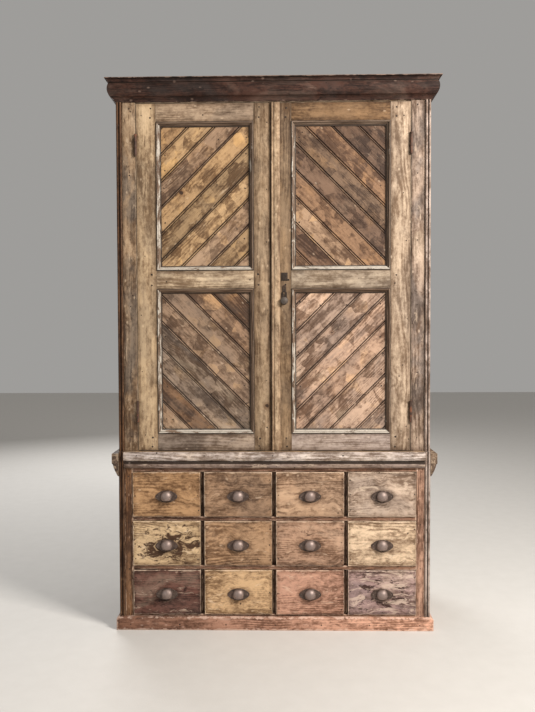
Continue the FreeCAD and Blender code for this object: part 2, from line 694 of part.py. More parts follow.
def door_nodes():
    half_gap = MEETING_GAP / 2
    left = door_frame((-DOOR_EDGE_X, MEETING_X - half_gap), FIELD_LEFT)
    right = door_frame((MEETING_X + half_gap, DOOR_EDGE_X), FIELD_RIGHT)
    housings = [leaf_housing(z, -1) for z in HINGE_Z]
    hanging = cut_all(left[0][0], [mirrored(h) for h in housings])
    left_stiles = [hanging, left[0][1].cut(meeting_rebate())]
    right_stiles = [right[0][0].cut(spindle_hole()), cut_all(right[0][1], housings)]
    leaves = []
    for z in HINGE_Z:
        leaves += hinge_leaf(z, -1, (1,), PIN_R + RUNNING)
    fields = {
        "left": [(FIELD_LEFT, FIELD_HIGH, 1, HIGH_PHASE), (FIELD_LEFT, FIELD_LOW, -1, LOW_PHASE)],
        "right": [(FIELD_RIGHT, FIELD_HIGH, -1, HIGH_PHASE), (FIELD_RIGHT, FIELD_LOW, 1, LOW_PHASE)],
    }
    nodes = {
        "left_door_stiles": left_stiles,
        "left_door_rails": left[1],
        "left_door_hinge_leaves": [mirrored(s) for s in leaves],
        "left_door_bolt_keeps": bolt_keeps(),
        "left_door_bolt": [door_bolt()],
        "right_door_stiles": right_stiles,
        "right_door_rails": right[1],
        "right_door_hinge_leaves": leaves,
        "meeting_bead": [meeting_bead()],
        "lock_plates": lock_plates(),
        "turn_latch": turn_latch(),
    }
    for name, panels in fields.items():
        boards = [field_boards(*panel) for panel in panels]
        nodes[f"{name}_door_boards"] = boards[0] + boards[1]
        mouldings = [field_moulding(panel[0], panel[1]) for panel in panels]
        nodes[f"{name}_door_mouldings"] = mouldings[0] + mouldings[1]
    return nodes


def drawer_nodes():
    """Each drawer and its pull, moved from the top left one."""
    pieces, middle = drawer()
    handle = pull(middle)
    nodes = {}
    for row in range(1, ROWS + 1):
        for column in range(COLUMNS):
            step = V(opening_x(column)[0] - opening_x(0)[0], 0, opening_z(row)[0] - opening_z(1)[0])
            nodes[f"drawer_r{row}c{column + 1}"] = [s.translated(step) for s in pieces]
            nodes[f"drawer_pull_r{row}c{column + 1}"] = [s.translated(step) for s in handle]
    return nodes


def main():
    os.makedirs("parts", exist_ok=True)
    counts = {}
    for nodes in (carcass_nodes(), door_nodes(), drawer_nodes()):
        for name, solids in nodes.items():
            counts[name] = save(name, solids)
    print(len(counts), "nodes,", sum(counts.values()), "solids")


main()
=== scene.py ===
"""Looks of the two-stage pine armoire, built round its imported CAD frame.

Every wooden board is made again as a worn plank: its arrises are rounded and chipped, and it
carries its own place, size, tone and luck as attributes, which one kind of pine shader reads.
The ironwork is cast and rusted. Units are metres, +Z is up and the front faces -Y.
"""

import itertools
import json
import math
import random
from collections import Counter

import bmesh
import bpy
from mathutils import Matrix, Vector, noise


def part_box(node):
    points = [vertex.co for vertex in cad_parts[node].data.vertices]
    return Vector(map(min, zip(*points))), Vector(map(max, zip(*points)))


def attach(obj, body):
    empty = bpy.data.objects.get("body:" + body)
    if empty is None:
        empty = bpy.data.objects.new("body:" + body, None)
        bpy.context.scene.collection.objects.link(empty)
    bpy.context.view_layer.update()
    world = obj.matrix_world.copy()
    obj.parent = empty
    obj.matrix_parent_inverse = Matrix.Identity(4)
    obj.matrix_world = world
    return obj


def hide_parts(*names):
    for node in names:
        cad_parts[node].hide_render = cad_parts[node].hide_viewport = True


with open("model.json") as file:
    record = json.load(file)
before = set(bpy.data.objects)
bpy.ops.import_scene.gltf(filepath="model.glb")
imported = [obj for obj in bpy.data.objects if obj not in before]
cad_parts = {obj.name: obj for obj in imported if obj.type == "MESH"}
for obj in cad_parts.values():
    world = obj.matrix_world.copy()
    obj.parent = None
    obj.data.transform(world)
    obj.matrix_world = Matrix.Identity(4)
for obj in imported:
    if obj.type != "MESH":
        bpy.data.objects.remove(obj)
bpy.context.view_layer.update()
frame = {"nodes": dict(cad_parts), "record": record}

MM = 0.001
X, Y, Z = Vector((1, 0, 0)), Vector((0, 1, 0)), Vector((0, 0, 1))
rng = random.Random(7)

# ---- wood tones (linear colour) ---------------------------------------------------------------
TONES = {
    "left case": (0.285, 0.188, 0.114),
    "right case": (0.300, 0.213, 0.160),
    "left hanging": (0.367, 0.259, 0.159),
    "right hanging": (0.374, 0.278, 0.200),
    "left top": (0.290, 0.200, 0.133),
    "right top": (0.183, 0.105, 0.052),
    "left middle": (0.440, 0.330, 0.222),
    "right middle": (0.315, 0.241, 0.175),
    "left bottom": (0.280, 0.213, 0.166),
    "right bottom": (0.326, 0.255, 0.220),
    "left meeting": (0.270, 0.184, 0.113),
    "right meeting": (0.212, 0.138, 0.080),
    # lighter than the stiles beside it, partly a painted highlight on the proud bead
    "bead": (0.450, 0.318, 0.205),
    "left strip": (0.085, 0.040, 0.018),
    "right strip": (0.430, 0.345, 0.300),
    "left post": (0.190, 0.093, 0.043),
    "right post": (0.375, 0.218, 0.153),
    "rail": (0.170, 0.088, 0.054),
    "plinth": (0.330, 0.160, 0.098),
    "waist": (0.520, 0.434, 0.388),
    "cornice": (0.040, 0.016, 0.0100),
    "gold": (0.315, 0.198, 0.102),
    "ochre": (0.285, 0.172, 0.086),
    "tan": (0.240, 0.148, 0.090),
    "pink tan": (0.332, 0.214, 0.151),
    "pale tan": (0.375, 0.252, 0.182),
    "brown": (0.162, 0.092, 0.052),
    "umber": (0.110, 0.062, 0.038),
    "grey brown": (0.205, 0.137, 0.093),
    "side": (0.230, 0.155, 0.102),
    "raw": (0.300, 0.195, 0.110),
    "raw grey": (0.210, 0.155, 0.108),
    "moulding": (0.175, 0.118, 0.080),
}
IRON_TONE = (0.1, 0.1, 0.1)
NO_MARKS = (0, 0, 0)
DARKER_BELOW = (0.44, 0.38, 0.35)

BODY_OF = {
    node: body for body, nodes in frame["record"]["behaviour"]["bodies"].items() for node in nodes
}
SLOT_OF = {part["node"]: part["material_slot"] for part in frame["record"]["subparts"]}


def tone(name, spread=0.07):
    """A named tone, a little lighter or darker and warmer or cooler each time."""
    value = 1 + rng.uniform(-spread, spread) * 1.6
    warm = rng.uniform(-spread, spread) * 0.5
    red, green, blue = TONES[name]
    return red * value * (1 + warm), green * value, blue * value * (1 - warm)


# ---- shader helper ----------------------------------------------------------------------------
class Shader:
    """A material's node tree, built by calls that take numbers or sockets."""

    def __init__(self, name):
        self.material = bpy.data.materials.new(name)
        self.material.use_nodes = True
        self.tree = self.material.node_tree
        self.bsdf = self.tree.nodes["Principled BSDF"]

    def link(self, value, socket):
        if isinstance(value, bpy.types.NodeSocket):
            self.tree.links.new(value, socket)
        else:
            socket.default_value = value

    def node(self, kind, **settings):
        made = self.tree.nodes.new(kind)
        for key, value in settings.items():
            setattr(made, key, value)
        return made

    def attribute(self, name, output="Vector"):
        return self.node("ShaderNodeAttribute", attribute_name=name).outputs[output]

    def math(self, operation, *values, clamp=False):
        made = self.node("ShaderNodeMath", operation=operation, use_clamp=clamp)
        for value, socket in zip(values, made.inputs):
            self.link(value, socket)
        return made.outputs[0]

    def times(self, first, second, clamp=False):
        return self.math("MULTIPLY", first, second, clamp=clamp)

    def linear(self, value, slope, start):
        """Value times slope, plus start."""
        return self.math("MULTIPLY_ADD", value, slope, start)

    def vector(self, operation, *values):
        made = self.node("ShaderNodeVectorMath", operation=operation)
        for value, socket in zip(values, made.inputs):
            self.link(value, socket)
        return made.outputs["Value" if operation == "LENGTH" else 0]

    def split(self, vector):
        made = self.node("ShaderNodeSeparateXYZ")
        self.link(vector, made.inputs[0])
        return made.outputs

    def join(self, x, y, z):
        made = self.node("ShaderNodeCombineXYZ")
        for value, socket in zip((x, y, z), made.inputs):
            self.link(value, socket)
        return made.outputs[0]

    def noise(self, vector, scale, detail=3.0, rough=0.55, distortion=0.0):
        made = self.node("ShaderNodeTexNoise")
        self.link(vector, made.inputs["Vector"])
        made.inputs["Scale"].default_value = scale
        made.inputs["Detail"].default_value = detail
        made.inputs["Roughness"].default_value = rough
        made.inputs["Distortion"].default_value = distortion
        return made.outputs["Fac"]

    def drawn(self, place, squeeze, scale, *settings):
        """Noise that is squeeze times finer across the grain than along it."""
        return self.noise(self.vector("MULTIPLY", place, (1.0, squeeze, squeeze)), scale, *settings)

    def cells(self, vector, scale):
        """Distance to the nearest cell centre, in the vector's units, and that cell's luck."""
        made = self.node("ShaderNodeTexVoronoi")
        self.link(vector, made.inputs["Vector"])
        made.inputs["Scale"].default_value = scale
        near = self.math("DIVIDE", made.outputs["Distance"], scale)
        return near, self.split(made.outputs["Color"])

    def dots(self, vector, scale, outer, inner, share):
        """Dots in a share of the cells, solid to the inner radius and gone at the outer one."""
        near, cell = self.cells(vector, scale)
        return self.times(self.step(near, outer, inner), self.math("LESS_THAN", cell[0], share))

    def step(self, value, low, high):
        """0 at low, 1 at high, smooth between them. High may be the lower number."""
        made = self.node("ShaderNodeMapRange", interpolation_type="SMOOTHSTEP")
        self.link(value, made.inputs["Value"])
        if isinstance(low, (int, float)) and low > high:
            low, high = high, low
            made.inputs["To Min"].default_value = 1.0
            made.inputs["To Max"].default_value = 0.0
        self.link(low, made.inputs["From Min"])
        self.link(high, made.inputs["From Max"])
        return made.outputs["Result"]

    def mix(self, amount, first, second):
        made = self.node("ShaderNodeMix", data_type="RGBA")
        colours = [s for s in made.inputs if s.type == "RGBA"]
        self.link(amount, made.inputs[0])
        for value, socket in zip((first, second), colours):
            value = (*value, 1.0) if isinstance(value, tuple) and len(value) == 3 else value
            self.link(value, socket)
        return [s for s in made.outputs if s.type == "RGBA"][0]

    def scale(self, colour, factor):
        """Colour times a number, or times a colour's three numbers."""
        factor = (factor, factor, factor) if isinstance(factor, (int, float)) else factor
        return self.vector("MULTIPLY", colour, factor)

    def relief(self, height, distance, strength=1.0):
        made = self.node("ShaderNodeBump")
        made.inputs["Strength"].default_value = strength
        made.inputs["Distance"].default_value = distance
        self.link(height, made.inputs["Height"])
        return made.outputs["Normal"]

    def finish(self, colour, roughness, normal, metallic=0.0, specular=0.35):
        self.link(colour, self.bsdf.inputs["Base Color"])
        self.link(roughness, self.bsdf.inputs["Roughness"])
        self.link(normal, self.bsdf.inputs["Normal"])
        self.link(metallic, self.bsdf.inputs["Metallic"])
        self.bsdf.inputs["Specular IOR Level"].default_value = specular
        return self.material


# ---- pine -------------------------------------------------------------------------------------
LUCK_REACH = 9.0               # how far apart two boards' luck sets their grain
RING_WIDTH = 0.0085
GRIME_AND_SHADE = (0.42, 0.36, 0.32)     # what thin grime leaves of a colour, and painted shade near an arris
DIRT_AND_SHADE = (0.026, 0.015, 0.010)   # thick dirt in a joint; dirt and painted shade in a groove


def pine(name, streaks=1.0, knots=0.35, worn=0.5, worn_width=4.0, worn_colour=(0.62, 0.49, 0.35),
         seam_and_edge_shade=0.6, gloss=0.0, grime=0.5, patches=0.0, front=False):
    """Old pine. Each board brings pos (its own axes: along, across, deep), half (its half
    sizes), tone, luck, marks (dark stains, pale distress, grey weathering) and hollow (1 in
    the bottom of a groove). Patches are squarish changes of tone along a board. A drawer
    front's rubbed edges are lightest at its top and left: wear at both, and along the top also a
    painted highlight. It is darker round its pull, and its grain waves."""
    s = Shader(name)
    pos = s.attribute("pos")
    half = s.attribute("half")
    luck = s.attribute("luck")
    base = s.attribute("tone", "Color")
    hollow = s.attribute("hollow", "Fac")
    stain, distress, grey = s.split(s.attribute("marks"))
    along, across = s.split(pos)[:2]
    luck_x, luck_y, luck_z = s.split(luck)
    place = s.vector("ADD", pos, s.scale(luck, LUCK_REACH))
    if front:
        wave = s.math("SUBTRACT", s.noise(place, 10.0, 2.0), 0.5)
        place = s.vector("ADD", place, s.join(0.0, s.times(wave, 0.055), 0.0))

    # knots, and the grain that bends round them
    flat = s.vector("MULTIPLY", place, (1.0, 1.0, 0.15))
    near, cell = s.cells(flat, 6.5)
    has_knot = s.math("LESS_THAN", cell[0], knots)
    ragged = s.times(s.math("SUBTRACT", s.noise(place, 90.0, 2.0), 0.5), 0.006)
    near = s.math("ADD", near, ragged)
    size = s.linear(cell[1], 0.007, 0.004)
    knot = s.times(s.step(s.math("DIVIDE", near, size), 1.25, 0.75), has_knot)
    ring = s.times(s.step(s.math("DIVIDE", near, size), 3.2, 1.0), has_knot)
    pull = s.times(s.step(near, 0.050, 0.0), has_knot)

    # growth rings round a pith that lies off the board
    wander = s.drawn(place, 4.0, 1.8, 2.0)
    side = s.linear(s.math("SUBTRACT", luck_x, 0.5), -0.20, across)
    below = s.linear(luck_y, 0.05, 0.025)
    radius = s.vector("LENGTH", s.join(side, below, 0.0))
    radius = s.linear(wander, 0.060, radius)
    radius = s.linear(pull, 0.020, radius)
    tilt = s.times(s.math("SUBTRACT", luck_z, 0.5), 0.06)
    radius = s.linear(along, tilt, radius)
    rings = s.math("SINE", s.times(radius, 2 * math.pi / RING_WIDTH))
    rings = s.linear(rings, 0.5, 0.5)
    ring_show = s.drawn(place, 2.5, 3.0, 3.0)
    rings = s.times(rings, s.step(ring_show, 0.42, 0.62))

    # streaks and pores along the grain, and mottling across it
    broad = s.drawn(place, 8.0, 4.5, 4.0, 0.62, 0.5)
    fine = s.drawn(place, 26.0, 11.0, 3.0, 0.6)
    mottle = s.drawn(place, 1.8, 34.0, 5.0, 0.68, 0.3)
    patch = s.drawn(place, 2.0, 5.0, 4.0, 0.6)
    spots = s.drawn(place, 1.3, 75.0, 4.0, 0.7)
    grain = s.linear(broad, 0.50, s.times(fine, 0.22))
    grain = s.linear(mottle, 0.62, grain)
    grain = s.linear(spots, 0.34, grain)
    grain = s.linear(patch, 0.60, grain)
    grain = s.linear(rings, -0.13, grain)
    if patches:
        jumbled = s.noise(place, 22.0, 2.0)
        shifted = s.vector("ADD", s.vector("MULTIPLY", flat, (1.0, 0.75, 1.0)),
                           s.scale(s.join(jumbled, jumbled, 0.0), 0.03))
        block_luck = s.cells(shifted, 22.0)[1]
        grain = s.linear(block_luck[0], patches, s.math("SUBTRACT", grain, patches / 2))
    spread = 0.19 / streaks
    depth = s.step(grain, 1.11 - spread, 1.11 + spread)
    dark = s.scale(base, (0.44, 0.37, 0.31))
    light = s.scale(base, (1.50, 1.52, 1.50))
    colour = s.mix(depth, dark, light)
    if patches:
        golden = s.times(s.step(block_luck[1], 0.62, 0.80), s.step(patch, 0.46, 0.62))
        colour = s.mix(s.times(golden, 0.55), colour, s.scale(colour, (1.45, 1.38, 1.10)))

    # grey weathering, dark stains and burns, pale distress
    cloud = s.drawn(place, 1.9, 3.2, 5.0, 0.62, 0.5)
    greyness = s.times(s.step(cloud, 0.44, 0.60), grey)
    silver = s.mix(0.35, s.scale(colour, (0.55, 0.58, 0.66)), (0.11, 0.10, 0.09))
    colour = s.mix(greyness, colour, silver)
    bleached = s.times(s.step(cloud, 0.46, 0.34), grey)
    colour = s.mix(s.times(bleached, 0.7), colour, s.mix(0.5, s.scale(colour, 1.5), worn_colour))
    blot = s.drawn(place, 1.9, 17.0, 6.0, 0.72, 0.9)
    if front:
        # distance from a point just below the pull; the front is darker round it
        pull_offset = s.join(s.times(along, 0.60), s.math("ADD", across, 0.012), 0.0)
        pull_distance = s.vector("LENGTH", pull_offset)
        stain_here = s.times(stain, s.linear(s.step(pull_distance, 0.10, 0.03), 0.5, 0.62))
    else:
        stain_here = stain
    limit = s.linear(stain_here, -0.21, 0.72)
    burnt = s.step(blot, limit, s.math("ADD", limit, 0.06))
    burnt = s.times(burnt, s.linear(stain, 0.5, 0.45), clamp=True)
    colour = s.mix(burnt, colour, s.scale(base, (0.16, 0.11, 0.09)))
    scuff = s.drawn(place, 4.6, 10.0, 6.0, 0.72, 1.0)
    limit = s.linear(distress, -0.20, 0.68)
    bare = s.step(scuff, limit, s.math("ADD", limit, 0.05))
    bare = s.times(bare, s.linear(distress, 0.55, 0.30), clamp=True)
    bare_wood = s.mix(0.6, s.scale(base, 1.8), worn_colour)
    colour = s.mix(bare, colour, bare_wood)

    # cracks along the grain, knots, and specks
    split_line = s.drawn(place, 26.0, 2.6, 1.0)
    crack = s.step(s.math("ABSOLUTE", s.math("SUBTRACT", split_line, 0.5)), 0.016, 0.003)
    crack = s.times(crack, s.step(patch, 0.50, 0.40))
    colour = s.mix(s.times(crack, 0.55), colour, s.scale(base, (0.22, 0.15, 0.11)))
    colour = s.mix(s.times(ring, 0.6), colour, s.scale(base, (0.42, 0.28, 0.19)))
    colour = s.mix(s.times(knot, 0.9), colour, (0.026, 0.013, 0.008))
    speck = s.dots(flat, 26.0, 0.0044, 0.0022, 0.17)
    colour = s.mix(s.times(speck, 0.85), colour, (0.022, 0.012, 0.007))

    # distance to the nearest arris: the second smallest distance to the board's faces
    gap = s.vector("SUBTRACT", half, s.vector("ABSOLUTE", pos))
    end, edge, face = s.split(gap)
    lowest, highest = s.math("MINIMUM", end, edge), s.math("MAXIMUM", end, edge)
    arris = s.math("MAXIMUM", lowest, s.math("MINIMUM", highest, face))
    nibble = s.drawn(place, 1.6, 30.0, 5.0, 0.72)
    # painted shade within about a centimetre of each arris, then a thin dark line at the arris itself
    painted_edge_shade = s.times(s.step(s.linear(nibble, -0.016, arris), 0.012, -0.006), seam_and_edge_shade * 0.75)
    colour = s.mix(painted_edge_shade, colour, s.scale(colour, GRIME_AND_SHADE))
    line = s.times(s.step(s.linear(nibble, -0.002, arris), 0.0016, 0.0), seam_and_edge_shade)
    colour = s.mix(line, colour, (0.030, 0.018, 0.012))
    reach = s.times(s.step(nibble, 0.30, 0.72), worn_width * MM)
    wear = s.times(s.step(s.math("SUBTRACT", arris, reach), 0.0012, -0.0008), worn)
    if front:
        # lighter along the top and left: wear at both, and along the top also a painted highlight where
        # the arris catches the light
        half_along, half_across = s.split(half)[:2]
        top = s.step(s.math("SUBTRACT", across, half_across), -0.02, -0.004)
        left = s.step(s.math("ADD", along, half_along), 0.02, 0.004)
        wear = s.times(wear, s.linear(s.math("MAXIMUM", top, left), 0.6, 0.4))
    colour = s.mix(wear, colour, bare_wood)

    # grime in clouds; dirt and painted shade in grooves; a drawer front darker round its pull
    smear = s.drawn(place, 1.5, 8.0, 4.0, 0.62)
    dirt = s.times(s.step(smear, 0.48, 0.76), grime)
    if front:
        pull_distance = s.math("ADD", pull_distance, s.times(s.math("SUBTRACT", nibble, 0.5), 0.05))
        dirt = s.math("MAXIMUM", dirt, s.times(s.step(pull_distance, 0.046, 0.024), 0.62))
    colour = s.mix(dirt, colour, s.scale(colour, GRIME_AND_SHADE))
    if patches:
        joint = s.step(s.linear(nibble, -0.001, edge), 0.0022, 0.0004)
        colour = s.mix(s.times(joint, 0.9), colour, DIRT_AND_SHADE)
    # dirt and painted shade in the bottoms of grooves and inner corners
    groove_grime_and_shade = s.times(s.step(s.linear(nibble, 0.4, hollow), 0.30, 0.75), 0.94)
    colour = s.mix(groove_grime_and_shade, colour, DIRT_AND_SHADE)

    # pale flecks, and the relief of it all
    fleck = s.dots(s.vector("MULTIPLY", flat, (0.6, 1.0, 1.0)), 46.0, 0.0052, 0.0016, 0.22)
    colour = s.mix(s.times(fleck, 0.5), colour, s.mix(0.5, s.scale(base, 1.9), worn_colour))
    height = s.linear(fine, 0.5, s.times(rings, 0.3))
    height = s.linear(mottle, 0.8, height)
    height = s.linear(s.math("MAXIMUM", s.math("MAXIMUM", speck, burnt), crack), -0.6, height)
    normal = s.relief(height, 0.0016, strength=0.9)
    rough = s.linear(fine, 0.22, 0.60 - 0.22 * gloss)
    return s.finish(colour, rough, normal, specular=0.2 + 0.25 * gloss)


def painted(name):
    """Whitish paint rubbed through to brown wood, with a painted shadow along its outer and inner edges.
    """
    s = Shader(name)
    pos = s.attribute("pos")
    half = s.attribute("half")
    luck = s.attribute("luck")
    base = s.attribute("tone", "Color")
    hollow = s.attribute("hollow", "Fac")
    # share of paint left: more on mouldings that face the light as a painted highlight, less on the
    # others as painted shade
    paint_and_light_left = s.split(s.attribute("marks"))[1]
    place = s.vector("ADD", pos, s.scale(luck, LUCK_REACH))
    wood_grain = s.drawn(place, 22.0, 8.0, 4.0, 0.6)
    wood = s.mix(s.step(wood_grain, 0.35, 0.65), s.scale(base, (0.40, 0.33, 0.28)), s.scale(base, 1.3))
    flakes = s.drawn(place, 4.0, 15.0, 6.0, 0.72, 0.6)
    limit = s.linear(paint_and_light_left, -0.40, 0.74)
    cover = s.step(flakes, limit, s.math("ADD", limit, 0.07))
    chalk = s.noise(place, 60.0, 4.0)
    white = s.mix(chalk, (0.27, 0.23, 0.185), (0.66, 0.59, 0.50))
    colour = s.mix(cover, wood, white)
    speck = s.dots(place, 60.0, 0.0024, 0.0012, 0.2)
    colour = s.mix(s.times(speck, 0.8), colour, (0.03, 0.02, 0.012))
    # painted shadow: a dark line along the outer and inner edges
    rim = s.split(s.vector("SUBTRACT", half, s.vector("ABSOLUTE", pos)))[1]
    shaky = s.linear(chalk, -0.003, rim)
    colour = s.mix(s.times(s.step(shaky, 0.0022, 0.0), 0.92), colour, (0.024, 0.015, 0.010))
    # dirt and painted shade in the bottoms of grooves
    deep = s.times(s.step(s.linear(chalk, 0.4, hollow), 0.40, 1.0), 0.85)
    colour = s.mix(deep, colour, (0.028, 0.018, 0.012))
    height = s.linear(cover, 0.7, s.times(wood_grain, 0.5))
    rough = s.linear(chalk, 0.2, 0.55)
    return s.finish(colour, rough, s.relief(height, 0.0006), specular=0.25)


# ---- iron -------------------------------------------------------------------------------------
def iron(name, dark, bright, rust, rub=0.0, rusty=0.5, rough=0.42):
    """Aged iron: pitted, rusty in patches, dark by the wood and rubbed bright further out. On a
    pull, the dark by the wood is partly painted shade round the cup.
    """
    s = Shader(name)
    pos = s.attribute("pos")
    luck = s.attribute("luck")
    place = s.vector("ADD", pos, s.scale(luck, 5.0))
    proud = s.split(pos)[2]
    mottle = s.noise(place, 75.0, 5.0, 0.66)
    pits = s.noise(place, 420.0, 3.0, 0.6)
    cloud = s.noise(place, 28.0, 4.0, 0.6, 0.5)
    # bright only well out from the wood; close to it the iron stays dark, on a pull partly as painted
    # shade round the cup
    rubbed = s.step(s.linear(mottle, 0.010, proud), 0.008, 0.021)
    rubbed = s.times(rubbed, rub)
    colour = s.mix(s.step(mottle, 0.35, 0.68), dark, s.scale(s.join(*dark), 1.9))
    colour = s.mix(rubbed, colour, bright)
    rusted = s.times(s.step(cloud, 0.50, 0.66), rusty)
    rusted = s.times(rusted, s.linear(rubbed, -0.6, 1.0))
    rust_tone = s.mix(pits, s.scale(s.join(*rust), 0.55), s.scale(s.join(*rust), 1.3))
    colour = s.mix(rusted, colour, rust_tone)
    metal = s.linear(rusted, -0.55, 0.62)
    height = s.linear(mottle, 0.8, s.times(pits, 0.35))
    gloss = s.linear(rusted, 0.32, s.linear(mottle, 0.22, rough - 0.1))
    return s.finish(colour, gloss, s.relief(height, 0.0007, strength=0.7), metallic=metal, specular=0.5)


# ---- mesh helpers -----------------------------------------------------------------------------
def islands(node):
    """The separate solids of a CAD node, each as a list of its faces' corner points. A solid is
    complete when every directed edge seen so far has met its opposite."""
    mesh = frame["nodes"][node].data
    keys = [tuple(round(value * 2e5) for value in vert.co) for vert in mesh.vertices]
    unmatched, group, found = Counter(), [], []
    for face in mesh.polygons:
        corners = list(face.vertices)
        for first, last in zip(corners, corners[1:] + corners[:1]):
            edge, back = (keys[first], keys[last]), (keys[last], keys[first])
            if edge[0] == edge[1]:
                continue
            if back in unmatched:
                unmatched[back] -= 1
                if not unmatched[back]:
                    del unmatched[back]
            else:
                unmatched[edge] += 1
        group.append([mesh.vertices[i].co.copy() for i in corners])
        if not unmatched:
            found.append(group)
            group = []
    found.sort(key=lambda faces: tuple(round(v, 4) for v in extent(points_of(faces))[0]))
    return found


def points_of(faces):
    return [point for corners in faces for point in corners]


def extent(points):
    low = Vector(map(min, zip(*points)))
    high = Vector(map(max, zip(*points)))
    return low, high


def solid_volume(faces):
    """Volume inside closed faces."""
    total = 0.0
    for corners in faces:
        for i in range(1, len(corners) - 1):
            total += corners[0].dot(corners[i].cross(corners[i + 1])) / 6
    return abs(total)


def board_axes(points, turn=None):
    """Unit vectors along the grain, across and through a board, with its centre and half sizes."""
    basis = turn or [X, Y, Z]
    spans = []
    for axis in basis:
        reach = [point.dot(axis) for point in points]
        spans.append((max(reach) - min(reach), (max(reach) + min(reach)) / 2, axis))
    if turn is None:
        spans.sort(key=lambda span: -span[0])
    axes = [span[2] for span in spans]
    centre = sum((span[1] * span[2] for span in spans), Vector())
    return axes, centre, Vector([span[0] / 2 for span in spans])


def welded(faces):
    """A bmesh of a solid's faces."""
    bm = bmesh.new()
    for corners in faces:
        bm.faces.new([bm.verts.new(point) for point in corners])
    bmesh.ops.remove_doubles(bm, verts=bm.verts, dist=1e-6)
    return bm


def loft(bm, rows):
    """Smooth faces between rows of vertices, and over the first and the last."""
    size = len(rows[0])
    faces = []
    for first, second in zip(rows, rows[1:]):
        for i in range(size):
            j = (i + 1) % size
            faces.append(bm.faces.new((first[i], first[j], second[j], second[i])))
    faces += [bm.faces.new(rows[0][::-1]), bm.faces.new(rows[-1])]
    for face in faces:
        face.smooth = True


def noise_seed():
    return Vector((rng.uniform(0, 90), rng.uniform(0, 90), rng.uniform(0, 90)))


def placed(name, data):
    """A new object in the scene."""
    made = bpy.data.objects.new(name, data)
    bpy.context.scene.collection.objects.link(made)
    return made


CHIP_PITCH = 21       # noise cells per metre where arrises are chipped
SWELL_PITCH = 5       # and where faces swell
PLANK_RADIUS = 1.3 * MM
STATION = 45 * MM     # the most between two sections of a plank


